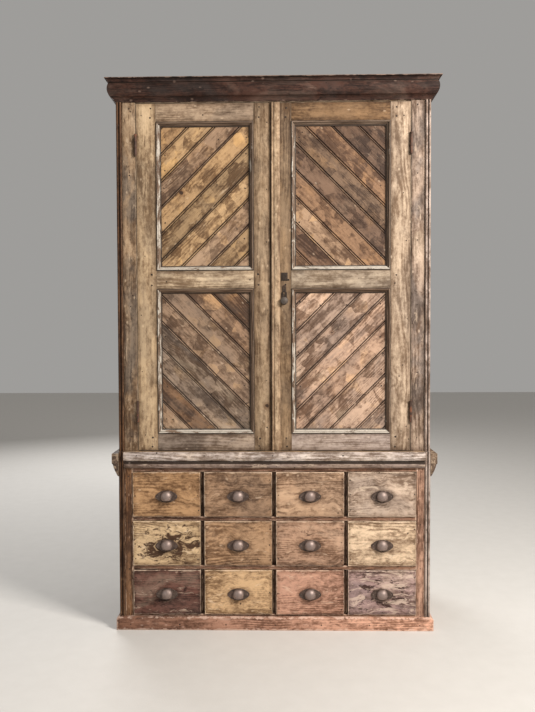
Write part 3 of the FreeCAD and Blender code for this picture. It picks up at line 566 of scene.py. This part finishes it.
class Piece:
    """One Blender object, gathered board by board."""

    LAYERS = ("pos", "half", "tone", "luck", "marks")

    def __init__(self):
        self.bm = bmesh.new()
        self.layers = {name: self.bm.verts.layers.float_vector.new(name) for name in self.LAYERS}
        self.hollow = self.bm.verts.layers.float.new("hollow")

    def stamp(self, verts, axes, centre, half, colour, marks):
        """Writes a board's own place, size, tone, luck and marks on its vertices."""
        luck = Vector((rng.random(), rng.random(), rng.random()))
        for vert in verts:
            place = [(vert.co - centre).dot(axis) for axis in axes]
            for name, value in zip(self.LAYERS, (place, half, colour, luck, marks)):
                vert[self.layers[name]] = value

    def add_plank(self, axes, centre, half, colour, marks):
        """Loft of rounded sections along the grain, with chipped arrises and a faint swell."""
        along, across, deep = axes
        radius = min(PLANK_RADIUS, half.z * 0.45, half.y * 0.45)
        support = min(7 * MM, half.y * 0.5)
        inner = min(4 * MM, half.z * 0.5)
        corners = []
        for sy, sz in ((1, 1), (-1, 1), (-1, -1), (1, -1)):
            y, z = half.y, half.z
            near = [
                (sy * y, sz * (z - inner), 0.0), (sy * y, sz * (z - radius), 0.6),
                (sy * (y - 0.3 * radius), sz * (z - 0.3 * radius), 1.0),
                (sy * (y - radius), sz * z, 0.6), (sy * (y - support), sz * z, 0.0),
            ]
            corners += near if sy * sz > 0 else near[::-1]
        count = max(2, math.ceil(2 * half.x / STATION))
        stations = [-half.x + radius] + [
            -half.x + 2 * half.x * i / count for i in range(1, count)
        ] + [half.x - radius]
        seed = noise_seed()

        def ring(x, shrink):
            row = []
            for y, z, corner in corners:
                y -= math.copysign(min(shrink, half.y * 0.4), y)
                z -= math.copysign(min(shrink, half.z * 0.4), z)
                spot = Vector((x, y, z))
                bite = max(0.0, noise.noise(spot * CHIP_PITCH + seed)) * 3.2 * radius * corner
                swell = max(0.0, noise.noise(spot * SWELL_PITCH + seed)) * 0.5 * MM
                y -= math.copysign(min(bite * 0.7 + swell, half.y * 0.5), y)
                z -= math.copysign(min(bite * 0.7 + swell, half.z * 0.5), z)
                row.append(self.bm.verts.new(centre + along * x + across * y + deep * z))
            return row

        rows = [ring(-half.x, radius)]
        rows += [ring(x, 0.0) for x in stations]
        rows.append(ring(half.x, radius))
        loft(self.bm, rows)
        verts = [vert for row in rows for vert in row]
        self.stamp(verts, axes, centre, half, colour, marks)

    def add_solid(self, faces, colour, marks=NO_MARKS, turn=None, bevel=1.1 * MM, slices=0.05,
                  chip=1.0, smooth=28, grooved=False):
        """A CAD solid's own shape, its arrises bevelled and chipped."""
        axes, centre, half = board_axes(points_of(faces), turn)
        bm = welded(faces)
        bmesh.ops.dissolve_limit(bm, angle_limit=math.radians(0.6), verts=bm.verts, edges=bm.edges)
        if bevel:
            sharp = [e for e in bm.edges if len(e.link_faces) == 2 and e.is_convex
                     and e.calc_face_angle(0) > math.radians(40)]
            bmesh.ops.bevel(bm, geom=sharp, offset=bevel, segments=2, profile=0.6,
                            affect="EDGES", clamp_overlap=True)
        if slices:
            count = math.ceil(2 * half.x / slices)
            for i in range(1, count):
                at = centre + axes[0] * (-half.x + 2 * half.x * i / count)
                geometry = bm.verts[:] + bm.edges[:] + bm.faces[:]
                bmesh.ops.bisect_plane(bm, geom=geometry, dist=1e-7, plane_co=at, plane_no=axes[0])
        bm.normal_update()
        seed = noise_seed()
        for vert in bm.verts:
            away = vert.co - centre
            gaps = sorted(half[i] - abs(away.dot(axes[i])) for i in range(3))
            if gaps[1] < 4 * MM:
                bite = max(0.0, noise.noise(vert.co * CHIP_PITCH + seed)) * 1.1 * MM * chip
                vert.co -= vert.normal * bite
        hollows = [hollowness(vert) if grooved else 0.0 for vert in bm.verts]
        for face in bm.faces:
            face.smooth = True
        for edge in bm.edges:
            edge.smooth = edge.calc_face_angle(0.0) < math.radians(smooth)
        verts = self.merge(bm)
        for vert, value in zip(verts, hollows):
            vert[self.hollow] = value
        self.stamp(verts, axes, centre, half, colour, marks)

    def merge(self, bm):
        """Adds another bmesh's geometry, frees it, and gives the new vertices."""
        bm.verts.index_update()
        copies = [self.bm.verts.new(vert.co) for vert in bm.verts]
        for face in bm.faces:
            made = self.bm.faces.new([copies[vert.index] for vert in face.verts])
            made.smooth = face.smooth
        for edge in bm.edges:
            pair = self.bm.edges.get([copies[vert.index] for vert in edge.verts])
            if pair:
                pair.smooth = edge.smooth
        bm.free()
        return copies

    def done(self, name, body, material, slot, *nodes):
        """Makes the object, which rides on a body and stands for CAD nodes."""
        mesh = bpy.data.meshes.new(name)
        bmesh.ops.recalc_face_normals(self.bm, faces=self.bm.faces)
        self.bm.to_mesh(mesh)
        self.bm.free()
        mesh.materials.append(material)
        made = placed(name, mesh)
        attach(made, body)
        if nodes:
            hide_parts(*nodes)

    def done_for(self, node, material):
        """Makes the object that stands for one CAD node."""
        self.done("v_" + node, BODY_OF[node], material, SLOT_OF[node], node)


def hollowness(vert):
    """1 at the bottom of a groove or inner corner, 0 on a flat face or an arris."""
    turns = [edge.calc_face_angle_signed(0.0) for edge in vert.link_edges if edge.is_manifold]
    return min(1.0, max(0.0, -min(turns, default=0.0) / math.radians(40)))


def is_box(faces):
    low, high = extent(points_of(faces))
    size = high - low
    return solid_volume(faces) > 0.985 * size.x * size.y * size.z


def planks_of(piece, faces, widest, colour, marks):
    """A box-shaped solid as planks laid side by side, none wider than widest."""
    axes, centre, half = board_axes(points_of(faces))
    count = max(1, math.ceil(2 * half.y / widest - 0.01))
    for i in range(count):
        middle = centre + axes[1] * half.y * (2 * (i + 0.5) / count - 1)
        size = Vector((half.x, half.y / count, half.z))
        piece.add_plank(axes, middle, size, tone(colour, 0.03 if count == 1 else 0.08), marks())


def scale_tone(piece, vert, factors):
    layer = piece.layers["tone"]
    vert[layer] = [value * factor for value, factor in zip(vert[layer], factors)]


def fade(piece, left_factors, right_factors):
    """Changes every tone, from the left end of a piece to its right end. Parts that turn
    round the corners are darker towards the right end."""
    reach = [vert.co.x for vert in piece.bm.verts]
    left, right = min(reach), max(reach)
    front = min(vert.co.y for vert in piece.bm.verts)
    for vert in piece.bm.verts:
        share = (vert.co.x - left) / (right - left)
        turned = min(1.0, (vert.co.y - front) / (80 * MM))
        factors = [(a + (b - a) * share) * (1 - 0.5 * turned * share)
                   for a, b in zip(left_factors, right_factors)]
        scale_tone(piece, vert, factors)


def wooden(node, material, colours, stain=0.15, distress=0.1, grey=0.3, widest=10.0, grooved=False,
           faded=None, dim_below=None):
    """A node of boards: boxes become planks, and other shapes keep theirs. The colours are
    taken in turn, from the left, then from the front, then from below. Grooved shapes carry
    dirt and painted shade in their hollows, and dim_below is the height under which a node is darker."""
    piece = Piece()

    def marks():
        return [max(0.0, value + rng.uniform(-0.1, 0.1)) for value in (stain, distress, grey)]

    for faces, colour in zip(islands(node), itertools.cycle(colours)):
        if is_box(faces):
            planks_of(piece, faces, widest, colour, marks)
        else:
            piece.add_solid(faces, tone(colour, 0.03), marks(), grooved=grooved)
    if faded:
        fade(piece, *faded)
    # tones below dim_below are made darker
    for vert in piece.bm.verts:
        if dim_below and vert.co.z < dim_below:
            scale_tone(piece, vert, DARKER_BELOW)
    piece.done_for(node, material)


# ---- materials --------------------------------------------------------------------------------
FRAME_PINE = pine("frame_pine", streaks=0.85, knots=0.30, worn=0.35, worn_width=2.0, seam_and_edge_shade=0.75)
CASE_PINE = pine("case_pine", streaks=1.1, knots=0.25, worn=0.4, worn_width=3.0, grime=0.6)
BOARD_PINE = pine("board_pine", streaks=1.1, knots=0.30, worn=0.0, gloss=0.3, grime=0.5,
                  seam_and_edge_shade=0.3, patches=0.22)
SIDE_PINE = pine("side_pine", streaks=1.1, knots=0.35, worn=0.5, worn_width=5.0)
STRIP_PINE = pine("strip_pine", streaks=1.2, knots=0.15, worn=0.45, worn_width=4.0, grime=0.6,
                  worn_colour=(0.27, 0.170, 0.105))
RED_PINE = pine("red_pine", streaks=1.2, knots=0.2, worn=0.9, worn_width=6.0,
                worn_colour=(0.55, 0.41, 0.31), gloss=0.2)
PLINTH_PINE = pine("plinth_pine", streaks=1.2, knots=0.2, worn=0.8, worn_width=12.0,
                   worn_colour=(0.60, 0.46, 0.37), gloss=0.2)
DRAWER_PINE = pine("drawer_pine", streaks=1.15, knots=0.40, worn=0.9, worn_width=4.5,
                   worn_colour=(0.72, 0.58, 0.43), gloss=0.2, front=True)
INNER_PINE = pine("inner_pine", streaks=0.9, knots=0.4, worn=0.3, grime=0.3)
CORNICE_PINE = pine("cornice_pine", streaks=1.6, knots=0.25, worn=0.8, worn_width=5.0,
                    worn_colour=(0.38, 0.27, 0.21), gloss=0.1, grime=0.8)
OLD_PAINT = painted("old_paint")
# the dark colour close to the wood is partly painted shade round the cup
PULL_IRON = iron("pull_iron", (0.072, 0.050, 0.040), (0.31, 0.235, 0.205), (0.10, 0.050, 0.030),
                 rub=0.9, rusty=0.5, rough=0.5)
RUSTY_IRON = iron("rusty_iron", (0.06, 0.035, 0.025), (0.20, 0.15, 0.12), (0.20, 0.075, 0.035),
                  rusty=0.9, rough=0.6)
BLACK_IRON = iron("black_iron", (0.028, 0.019, 0.014), (0.17, 0.145, 0.125), (0.08, 0.042, 0.025),
                  rub=0.5, rusty=0.5, rough=0.62)


# ---- carcass ----------------------------------------------------------------------------------
def carcass():
    for node in ("base_side_left", "upper_side_left", "base_side_right", "upper_side_right"):
        wooden(node, SIDE_PINE, ["side"], stain=0.3, distress=0.2, grey=0.7, widest=0.19)
    wooden("base_front_posts", RED_PINE, ["left post", "right post"], stain=0.3, distress=0.35, grey=0.2)
    wooden("base_drawer_rails", RED_PINE, ["rail"], stain=0.35, distress=0.5, grey=0.2,
           faded=((0.95, 0.95, 0.95), (1.5, 1.55, 1.6)))
    wooden("drawer_dividers", RED_PINE, ["umber"], stain=0.4)
    for node in ("drawer_partitions", "drawer_runners", "base_top_and_bottom_boards", "shelves",
                 "upper_top_and_bottom_boards", "shelf_battens"):
        wooden(node, INNER_PINE, ["raw"], grey=0.2, widest=0.2)
    for node in ("base_back_boards", "upper_back_boards"):
        wooden(node, INNER_PINE, ["raw", "raw grey", "side"], stain=0.3, grey=0.5, widest=0.25)
    wooden("upper_face_frame", CASE_PINE, ["left case", "left case", "right case"],
           stain=0.5, distress=0.35, grey=0.85)
    wooden("waist_moulding", CASE_PINE, ["umber", "waist", "side"], stain=0.4,
           distress=0.7, grey=0.45, grooved=True, dim_below=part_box("waist_moulding")[1][2] - 42 * MM)
    wooden("corner_strips", STRIP_PINE, ["left strip", "left strip", "right strip", "right strip"],
           stain=0.3, distress=0.25, grey=0.1, grooved=True)
    wooden("plinth", PLINTH_PINE, ["plinth"], stain=0.3, distress=0.45, grey=0.1,
           faded=((0.43, 0.41, 0.41), (1.85, 2.15, 2.50)))
    wooden("cornice", CORNICE_PINE, ["cornice"], stain=0.5, distress=0.25, grey=0.3, grooved=True)


# ---- doors ------------------------------------------------------------------------------------
DIAGONAL = math.sqrt(0.5)
PAINT_AND_HIGHLIGHT_LEFT, PAINT_AND_SHADE_RIGHT, PAINT_AND_HIGHLIGHT_SILL, PAINT_AND_SHADE_TOP = 0.62, 0.34, 0.86, 0.12   # paint left on the mouldings, raised as painted highlight, lowered as painted shade


def door_boards(node, palette_high, palette_low):
    """The diagonal boards, each with its grain along its own length."""
    piece = Piece()
    low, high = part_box(node)
    middle = (low[2] + high[2]) / 2
    left_door = low[0] < 0
    for faces in islands(node):
        points = points_of(faces)
        centre = sum(points, Vector()) / len(points)
        upper = centre.z > middle
        rise = 1 if upper == left_door else -1
        along = Vector((DIAGONAL, 0, DIAGONAL * rise))
        across = Vector((-DIAGONAL * rise, 0, DIAGONAL))
        colour = tone(rng.choice(palette_high if upper else palette_low), 0.10)
        marks = [rng.uniform(0.1, 0.5), rng.uniform(0.0, 0.35), rng.uniform(0.1, 0.6)]
        marks[2] *= 0.5 if upper else 1.3
        piece.add_solid(faces, colour, marks, turn=[along, across, -Y],
                        bevel=0, slices=0.07, chip=0.2, grooved=True)
    piece.done_for(node, BOARD_PINE)


def door_mouldings(node):
    """Worn whitish paint: more is left on the sills and the left lengths, whose slopes face the light,
    and less on the others. The difference is painted highlight and painted shade.
    """
    piece = Piece()
    low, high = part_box(node)
    middle = (low[2] + high[2]) / 2
    for faces in islands(node):
        bottom, top = extent(points_of(faces))
        centre = (bottom + top) / 2
        # paint share by member: more on those that face the light as a painted highlight, less on the
        # others as painted shade
        if top.z - bottom.z > top.x - bottom.x:
            paint = PAINT_AND_HIGHLIGHT_LEFT if centre.x < (low[0] + high[0]) / 2 else PAINT_AND_SHADE_RIGHT
        else:
            field_middle = (middle + (high[2] if centre.z > middle else low[2])) / 2
            paint = PAINT_AND_HIGHLIGHT_SILL if centre.z < field_middle else PAINT_AND_SHADE_TOP
        piece.add_solid(faces, tone("moulding"), (0, paint, 0), bevel=0, slices=0.06, chip=0.5,
                        smooth=32, grooved=True)
    piece.done_for(node, OLD_PAINT)


def doors():
    wooden("left_door_stiles", FRAME_PINE, ["left hanging", "left meeting"], grey=0.35)
    wooden("left_door_rails", FRAME_PINE, ["left bottom", "left middle", "left top"], grey=0.35)
    wooden("right_door_stiles", FRAME_PINE, ["right meeting", "right hanging"], grey=0.3)
    wooden("right_door_rails", FRAME_PINE, ["right bottom", "right middle", "right top"], grey=0.3)
    wooden("meeting_bead", FRAME_PINE, ["bead"], grey=0.35)
    door_boards("left_door_boards", ["ochre", "gold", "tan", "ochre", "brown"],
                ["grey brown", "brown", "grey brown", "tan"])
    door_boards("right_door_boards", ["brown", "umber", "tan", "brown"],
                ["pink tan", "pale tan", "pink tan", "pink tan"])
    door_mouldings("left_door_mouldings")
    door_mouldings("right_door_mouldings")


# ---- drawers ----------------------------------------------------------------------------------
# row and column: colour of the front, then its dark stains, pale distress and grey weathering
FRONTS = {
    "r1c1": ((0.324, 0.186, 0.093), 0.25, 0.30, 0.05),
    "r1c2": ((0.272, 0.165, 0.099), 0.35, 0.30, 0.35),
    "r1c3": ((0.368, 0.233, 0.148), 0.25, 0.30, 0.25),
    "r1c4": ((0.392, 0.288, 0.220), 0.40, 0.50, 0.40),
    "r2c1": ((0.440, 0.305, 0.178), 1.15, 0.50, 0.15),
    "r2c2": ((0.340, 0.203, 0.114), 0.30, 0.45, 0.20),
    "r2c3": ((0.330, 0.198, 0.130), 0.60, 0.45, 0.35),
    "r2c4": ((0.515, 0.375, 0.256), 0.45, 0.50, 0.05),
    "r3c1": ((0.112, 0.049, 0.036), 0.75, 0.45, 0.35),
    "r3c2": ((0.440, 0.282, 0.156), 0.35, 0.50, 0.05),
    "r3c3": ((0.387, 0.211, 0.147), 0.45, 0.50, 0.10),
    "r3c4": ((0.290, 0.190, 0.174), 1.05, 0.78, 0.50),
}


INSIDE_MARKS = (0.1, 0.1, 0.1)


def drawer(name):
    """Front in its own tone, and raw pine sides, back and bottom behind it."""
    node = "drawer_" + name
    colour, *marks = FRONTS[name]
    piece = Piece()
    front_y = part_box(node)[0][1]
    for faces in islands(node):
        if extent(points_of(faces))[0].y < front_y + 1 * MM:
            piece.add_solid(faces, colour, marks, bevel=0.8 * MM, slices=0.03, chip=0.8)
        else:
            piece.add_solid(faces, tone("raw"), INSIDE_MARKS, slices=0.06, chip=0.5)
    piece.done_for(node, DRAWER_PINE)


EYE_HALF = (50 * MM, 26 * MM)     # half sizes of the flange before its tips are blunted
RIM_RADIUS = 1.5 * MM             # of the bead round the flange
RIM_PROUD = 2.0 * MM
RIM_INSET = 1.6 * MM
RIM_TIP = 3.4 * MM                # half its height at the blunt ends
RIM_STEPS = 28
VOXEL = 0.9 * MM


def tube(bm, points, radius):
    """Round bar through points in the XZ plane."""
    sides = 8
    rows = []
    for i, point in enumerate(points):
        ahead = points[min(i + 1, len(points) - 1)] - points[max(i - 1, 0)]
        out = Vector((-ahead.z, 0, ahead.x)).normalized()
        turns = [2 * math.pi * k / sides for k in range(sides)]
        spokes = [out * math.cos(turn) + Y * math.sin(turn) for turn in turns]
        rows.append([bm.verts.new(point + spoke * radius) for spoke in spokes])
    loft(bm, rows)


def evaluated(bm, *modifiers):
    """The bmesh after modifiers, each a type and its settings."""
    mesh = bpy.data.meshes.new("scratch")
    bm.to_mesh(mesh)
    bm.free()
    scratch = placed("scratch", mesh)
    for kind, settings in modifiers:
        added = scratch.modifiers.new(kind, kind)
        for key, value in settings.items():
            setattr(added, key, value)
    graph = bpy.context.evaluated_depsgraph_get()
    result = bpy.data.meshes.new_from_object(scratch.evaluated_get(graph))
    bpy.data.objects.remove(scratch)
    bpy.data.meshes.remove(mesh)
    return result


def cast_cup(faces, centre, wood_y):
    """The cup with a beaded edge round its flange and a rolled lip, softened as cast iron is."""
    bm = welded(faces)
    half_w, half_h = EYE_HALF
    radius = (half_w ** 2 + half_h ** 2) / (2 * half_h)
    reach = half_w - 5 * MM
    steps = [reach * (2 * i / RIM_STEPS - 1) for i in range(RIM_STEPS + 1)]

    def rim(x, rise):
        return Vector((centre.x + x, wood_y - RIM_PROUD, centre.z + rise))

    for side in (1, -1):
        rises = [math.sqrt(radius ** 2 - x ** 2) - (radius - half_h) - RIM_INSET for x in steps]
        tube(bm, [rim(x, side * rise) for x, rise in zip(steps, rises)], RIM_RADIUS)
    for x in (-reach, reach):
        tube(bm, [rim(x, rise) for rise in (-RIM_TIP, 0.0, RIM_TIP)], RIM_RADIUS)
    return evaluated(
        bm,
        ("REMESH", {"mode": "VOXEL", "voxel_size": VOXEL, "use_smooth_shade": True}),
        ("SMOOTH", {"factor": 0.5, "iterations": 4}),
    )


def pull(name, cup_master):
    """A cup pull and its two slotted screws. The cup's mesh is shared through cup_master."""
    node = "drawer_pull_" + name
    low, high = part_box(node)
    wood_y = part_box("drawer_" + name)[0][1]
    piece = Piece()
    groups = sorted(islands(node), key=lambda f: -len(f))
    middle = Vector(((low[0] + high[0]) / 2, wood_y, (low[2] + high[2]) / 2))
    if "mesh" not in cup_master:
        cup_master["mesh"] = cast_cup(groups[0], middle, wood_y)
        cup_master["middle"] = middle
    bm = bmesh.new()
    bm.from_mesh(cup_master["mesh"])
    bmesh.ops.translate(bm, verts=bm.verts, vec=middle - cup_master["middle"])
    axes = [X, Z, -Y]
    half = Vector((high[0] - low[0], high[2] - low[2], high[1] - low[1])) / 2
    piece.stamp(piece.merge(bm), axes, middle, half, IRON_TONE, NO_MARKS)
    for face in piece.bm.faces:
        face.smooth = True
    for faces in groups[1:]:
        piece.add_solid(faces, IRON_TONE, turn=axes, bevel=0.25 * MM, slices=0, chip=0)
    piece.done_for(node, PULL_IRON)


def drawers():
    cup_master = {}
    for name in FRONTS:
        drawer(name)
        pull(name, cup_master)


# ---- nails and pegs ---------------------------------------------------------------------------
STUD_SIDES = 10
NAIL_SLOT = "rusty_iron"


def add_stud(piece, spot, radius, proud, out=-1):
    """Low dome on a face that looks towards -Y (out -1) or +Y (out 1), a little out of round."""
    rings = []
    lobes = rng.uniform(0, 50)
    for share, height in ((1.0, -0.4 * MM), (0.92, proud * 0.5), (0.55, proud)):
        ring = []
        for k in range(STUD_SIDES):
            turn = 2 * math.pi * k / STUD_SIDES
            reach = radius * share * (1 + 0.10 * math.sin(3 * turn + lobes))
            away = Vector((math.cos(turn) * reach, out * height, math.sin(turn) * reach))
            ring.append(piece.bm.verts.new(spot + away))
        rings.append(ring)
    loft(piece.bm, rings)
    axes = [X, Z, out * Y]
    half = Vector((radius, radius, proud))
    piece.stamp([v for ring in rings for v in ring], axes, spot, half, IRON_TONE, NO_MARKS)


def along_line(low, high, pitch):
    """Evenly spaced places, nudged, between two numbers."""
    count = max(2, round((high - low) / pitch) + 1)
    return [low + (high - low) * i / (count - 1) + rng.uniform(-0.006, 0.006) for i in range(count)]


def door_nails(side):
    """Peg ends where the rails enter the stiles, board nails near the mouldings."""
    piece = Piece()
    face_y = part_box(side + "_door_stiles")[0][1]
    rails = [extent(points_of(faces)) for faces in islands(side + "_door_rails")]
    low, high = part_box(side + "_door_mouldings")
    for bottom, top in rails:
        for x in (low[0] - 22 * MM, high[0] + 22 * MM):
            for z in (bottom.z * 0.75 + top.z * 0.25, bottom.z * 0.25 + top.z * 0.75):
                spot = Vector((x + rng.uniform(-4, 4) * MM, face_y, z + rng.uniform(-4, 4) * MM))
                add_stud(piece, spot, rng.uniform(3.4, 4.8) * MM, 0.7 * MM)
    board_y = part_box(side + "_door_boards")[0][1]
    fields = [(rails[0][1].z, rails[1][0].z), (rails[1][1].z, rails[2][0].z)]
    for z0, z1 in fields:
        for x in (low[0] + 34 * MM, high[0] - 34 * MM):
            for z in along_line(z0 + 60 * MM, z1 - 60 * MM, 0.075):
                spot = Vector((x + rng.uniform(-7, 7) * MM, board_y, z))
                add_stud(piece, spot, rng.uniform(2.2, 3.8) * MM, 0.5 * MM)
    for z in along_line(rails[0][1].z, rails[2][0].z, 0.27):
        for x in (low[0] - 60 * MM, high[0] + 55 * MM) if side == "left" else (high[0] + 60 * MM,):
            spot = Vector((x + rng.uniform(-12, 12) * MM, face_y, z + rng.uniform(-0.05, 0.05)))
            add_stud(piece, spot, rng.uniform(2.2, 3.4) * MM, 0.5 * MM)
    piece.done("nails_" + side + "_door", side + "_door", BLACK_IRON, NAIL_SLOT)


def case_nails():
    """Nails through the face frame, strips, front posts, plinth, waist and back boards."""
    piece = Piece()
    for node, inset, pitch in (("upper_face_frame", 32, 0.30), ("corner_strips", 11, 0.33),
                               ("base_front_posts", 18, 0.20)):
        low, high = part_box(node)
        groove = 2.6 * MM if node == "corner_strips" else 0.0
        for x in (low[0] + inset * MM, high[0] - inset * MM):
            for z in along_line(low[2] + 60 * MM, high[2] - 90 * MM, pitch):
                y = low[1] + groove
                if node == "corner_strips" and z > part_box("upper_face_frame")[0][2]:
                    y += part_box("upper_face_frame")[0][1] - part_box("base_front_posts")[0][1]
                add_stud(piece, Vector((x, y, z)), rng.uniform(2.2, 3.8) * MM, 0.6 * MM)
    for node, height, pitch in (("plinth", 0.42, 0.19), ("waist_moulding", 0.80, 0.31)):
        low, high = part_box(node)
        if node == "waist_moulding":
            low, high = extent(points_of(islands(node)[1]))
        z = low[2] + (high[2] - low[2]) * height
        for x in along_line(low[0] + 60 * MM, high[0] - 60 * MM, pitch):
            add_stud(piece, Vector((x, low[1], z)), rng.uniform(2.4, 3.8) * MM, 0.6 * MM)
    for node in ("base_back_boards", "upper_back_boards"):
        low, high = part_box(node)
        for faces in islands(node):
            left, right = extent(points_of(faces))
            for z in along_line(low[2] + 30 * MM, high[2] - 30 * MM, 0.42):
                for x in (left.x + 28 * MM, right.x - 28 * MM):
                    add_stud(piece, Vector((x, high[1], z)), 2.6 * MM, 0.5 * MM, out=1)
    piece.done("nails_case", "carcass", BLACK_IRON, NAIL_SLOT)


def drawer_nails(name):
    """Two or three nails through each end of a drawer front."""
    piece = Piece()
    low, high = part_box("drawer_" + name)
    for x in (low[0] + 9 * MM, high[0] - 9 * MM):
        for z in along_line(low[2] + 28 * MM, high[2] - 28 * MM, 0.066):
            spot = Vector((x + rng.uniform(-2, 2) * MM, low[1], z))
            add_stud(piece, spot, rng.uniform(1.8, 3.2) * MM, 0.5 * MM)
    piece.done("nails_" + name, "drawer_" + name, BLACK_IRON, NAIL_SLOT)


def nails():
    door_nails("left")
    door_nails("right")
    case_nails()
    for name in FRONTS:
        drawer_nails(name)


# ---- ironwork ---------------------------------------------------------------------------------
def ironwork(node, material, bevel=0.35 * MM, smooth=30):
    piece = Piece()
    for faces in islands(node):
        piece.add_solid(faces, IRON_TONE, turn=[Z, X, -Y], bevel=bevel, slices=0, chip=0.2, smooth=smooth)
    piece.done_for(node, material)


def all_iron():
    for node in ("hinge_case_leaves", "left_door_hinge_leaves", "right_door_hinge_leaves",
                 "left_door_bolt_keeps", "left_door_bolt"):
        ironwork(node, RUSTY_IRON)
    ironwork("lock_plates", BLACK_IRON)
    ironwork("turn_latch", BLACK_IRON, bevel=0.3 * MM, smooth=40)


# ---- stage, light and camera ------------------------------------------------------------------
FLOOR_REACH = 12.0
SKY, SKY_STRENGTH = (0.86, 0.84, 0.81), 0.40
LIGHTS = (      # name, place, target, size, watts, colour
    ("key", (2.5, -2.35, 3.1), (0, 0, 1.1), 1.1, 225, (1.0, 0.965, 0.92)),
    ("fill", (-3.5, -3.0, 2.0), (0, 0, 1.2), 3.0, 30, (0.95, 0.97, 1.0)),
    ("back", (-2.0, 4.0, 3.2), (0, 0, 1.0), 2.5, 130, (1, 1, 1)),
)
CAMERA_PLACE = (0.033, -3.231, 1.251)
CAMERA_ANGLES = (-1.76, -1.12, -0.20)     # pitch, yaw and roll in degrees
LENS, SENSOR = 36.05, 36.0


def stage():
    s = Shader("pale_floor")
    place = s.node("ShaderNodeNewGeometry").outputs["Position"]
    speckle = s.noise(place, 14.0, 4.0)
    colour = s.mix(speckle, (0.60, 0.575, 0.54), (0.66, 0.635, 0.60))
    s.finish(colour, 0.7, s.relief(s.noise(place, 160.0), 0.0004))
    mesh = bpy.data.meshes.new("floor")
    corners = [(x * FLOOR_REACH, y * FLOOR_REACH, 0) for x, y in ((-1, -1), (1, -1), (1, 1), (-1, 1))]
    mesh.from_pydata(corners, [], [(0, 1, 2, 3)])
    mesh.materials.append(s.material)
    floor = placed("floor", mesh)


def area_light(name, place, target, size, power, colour):
    data = bpy.data.lights.new(name, "AREA")
    data.shape, data.size, data.energy, data.color = "SQUARE", size, power, colour
    lamp = placed(name, data)
    lamp.location = place
    lamp.rotation_euler = (Vector(target) - Vector(place)).to_track_quat("-Z", "Y").to_euler()


def light_and_camera():
    scene = bpy.context.scene
    world = bpy.data.worlds.new("studio")
    world.use_nodes = True
    background = world.node_tree.nodes["Background"]
    background.inputs["Color"].default_value = (*SKY, 1)
    background.inputs["Strength"].default_value = SKY_STRENGTH
    scene.world = world
    for light in LIGHTS:
        area_light(*light)
    scene.view_settings.view_transform = "Standard"
    data = bpy.data.cameras.new("camera")
    data.sensor_width = SENSOR
    data.lens = LENS
    data.clip_end = 5 * FLOOR_REACH
    camera = placed("camera", data)
    pitch, yaw, roll = (math.radians(angle) for angle in CAMERA_ANGLES)
    turn = Matrix.Rotation(-yaw, 4, "Z") @ Matrix.Rotation(math.pi / 2 + pitch, 4, "X")
    turn = turn @ Matrix.Rotation(roll, 4, "Z")
    camera.matrix_world = Matrix.Translation(CAMERA_PLACE) @ turn
    scene.camera = camera


carcass()
doors()
drawers()
all_iron()
nails()
stage()
light_and_camera()
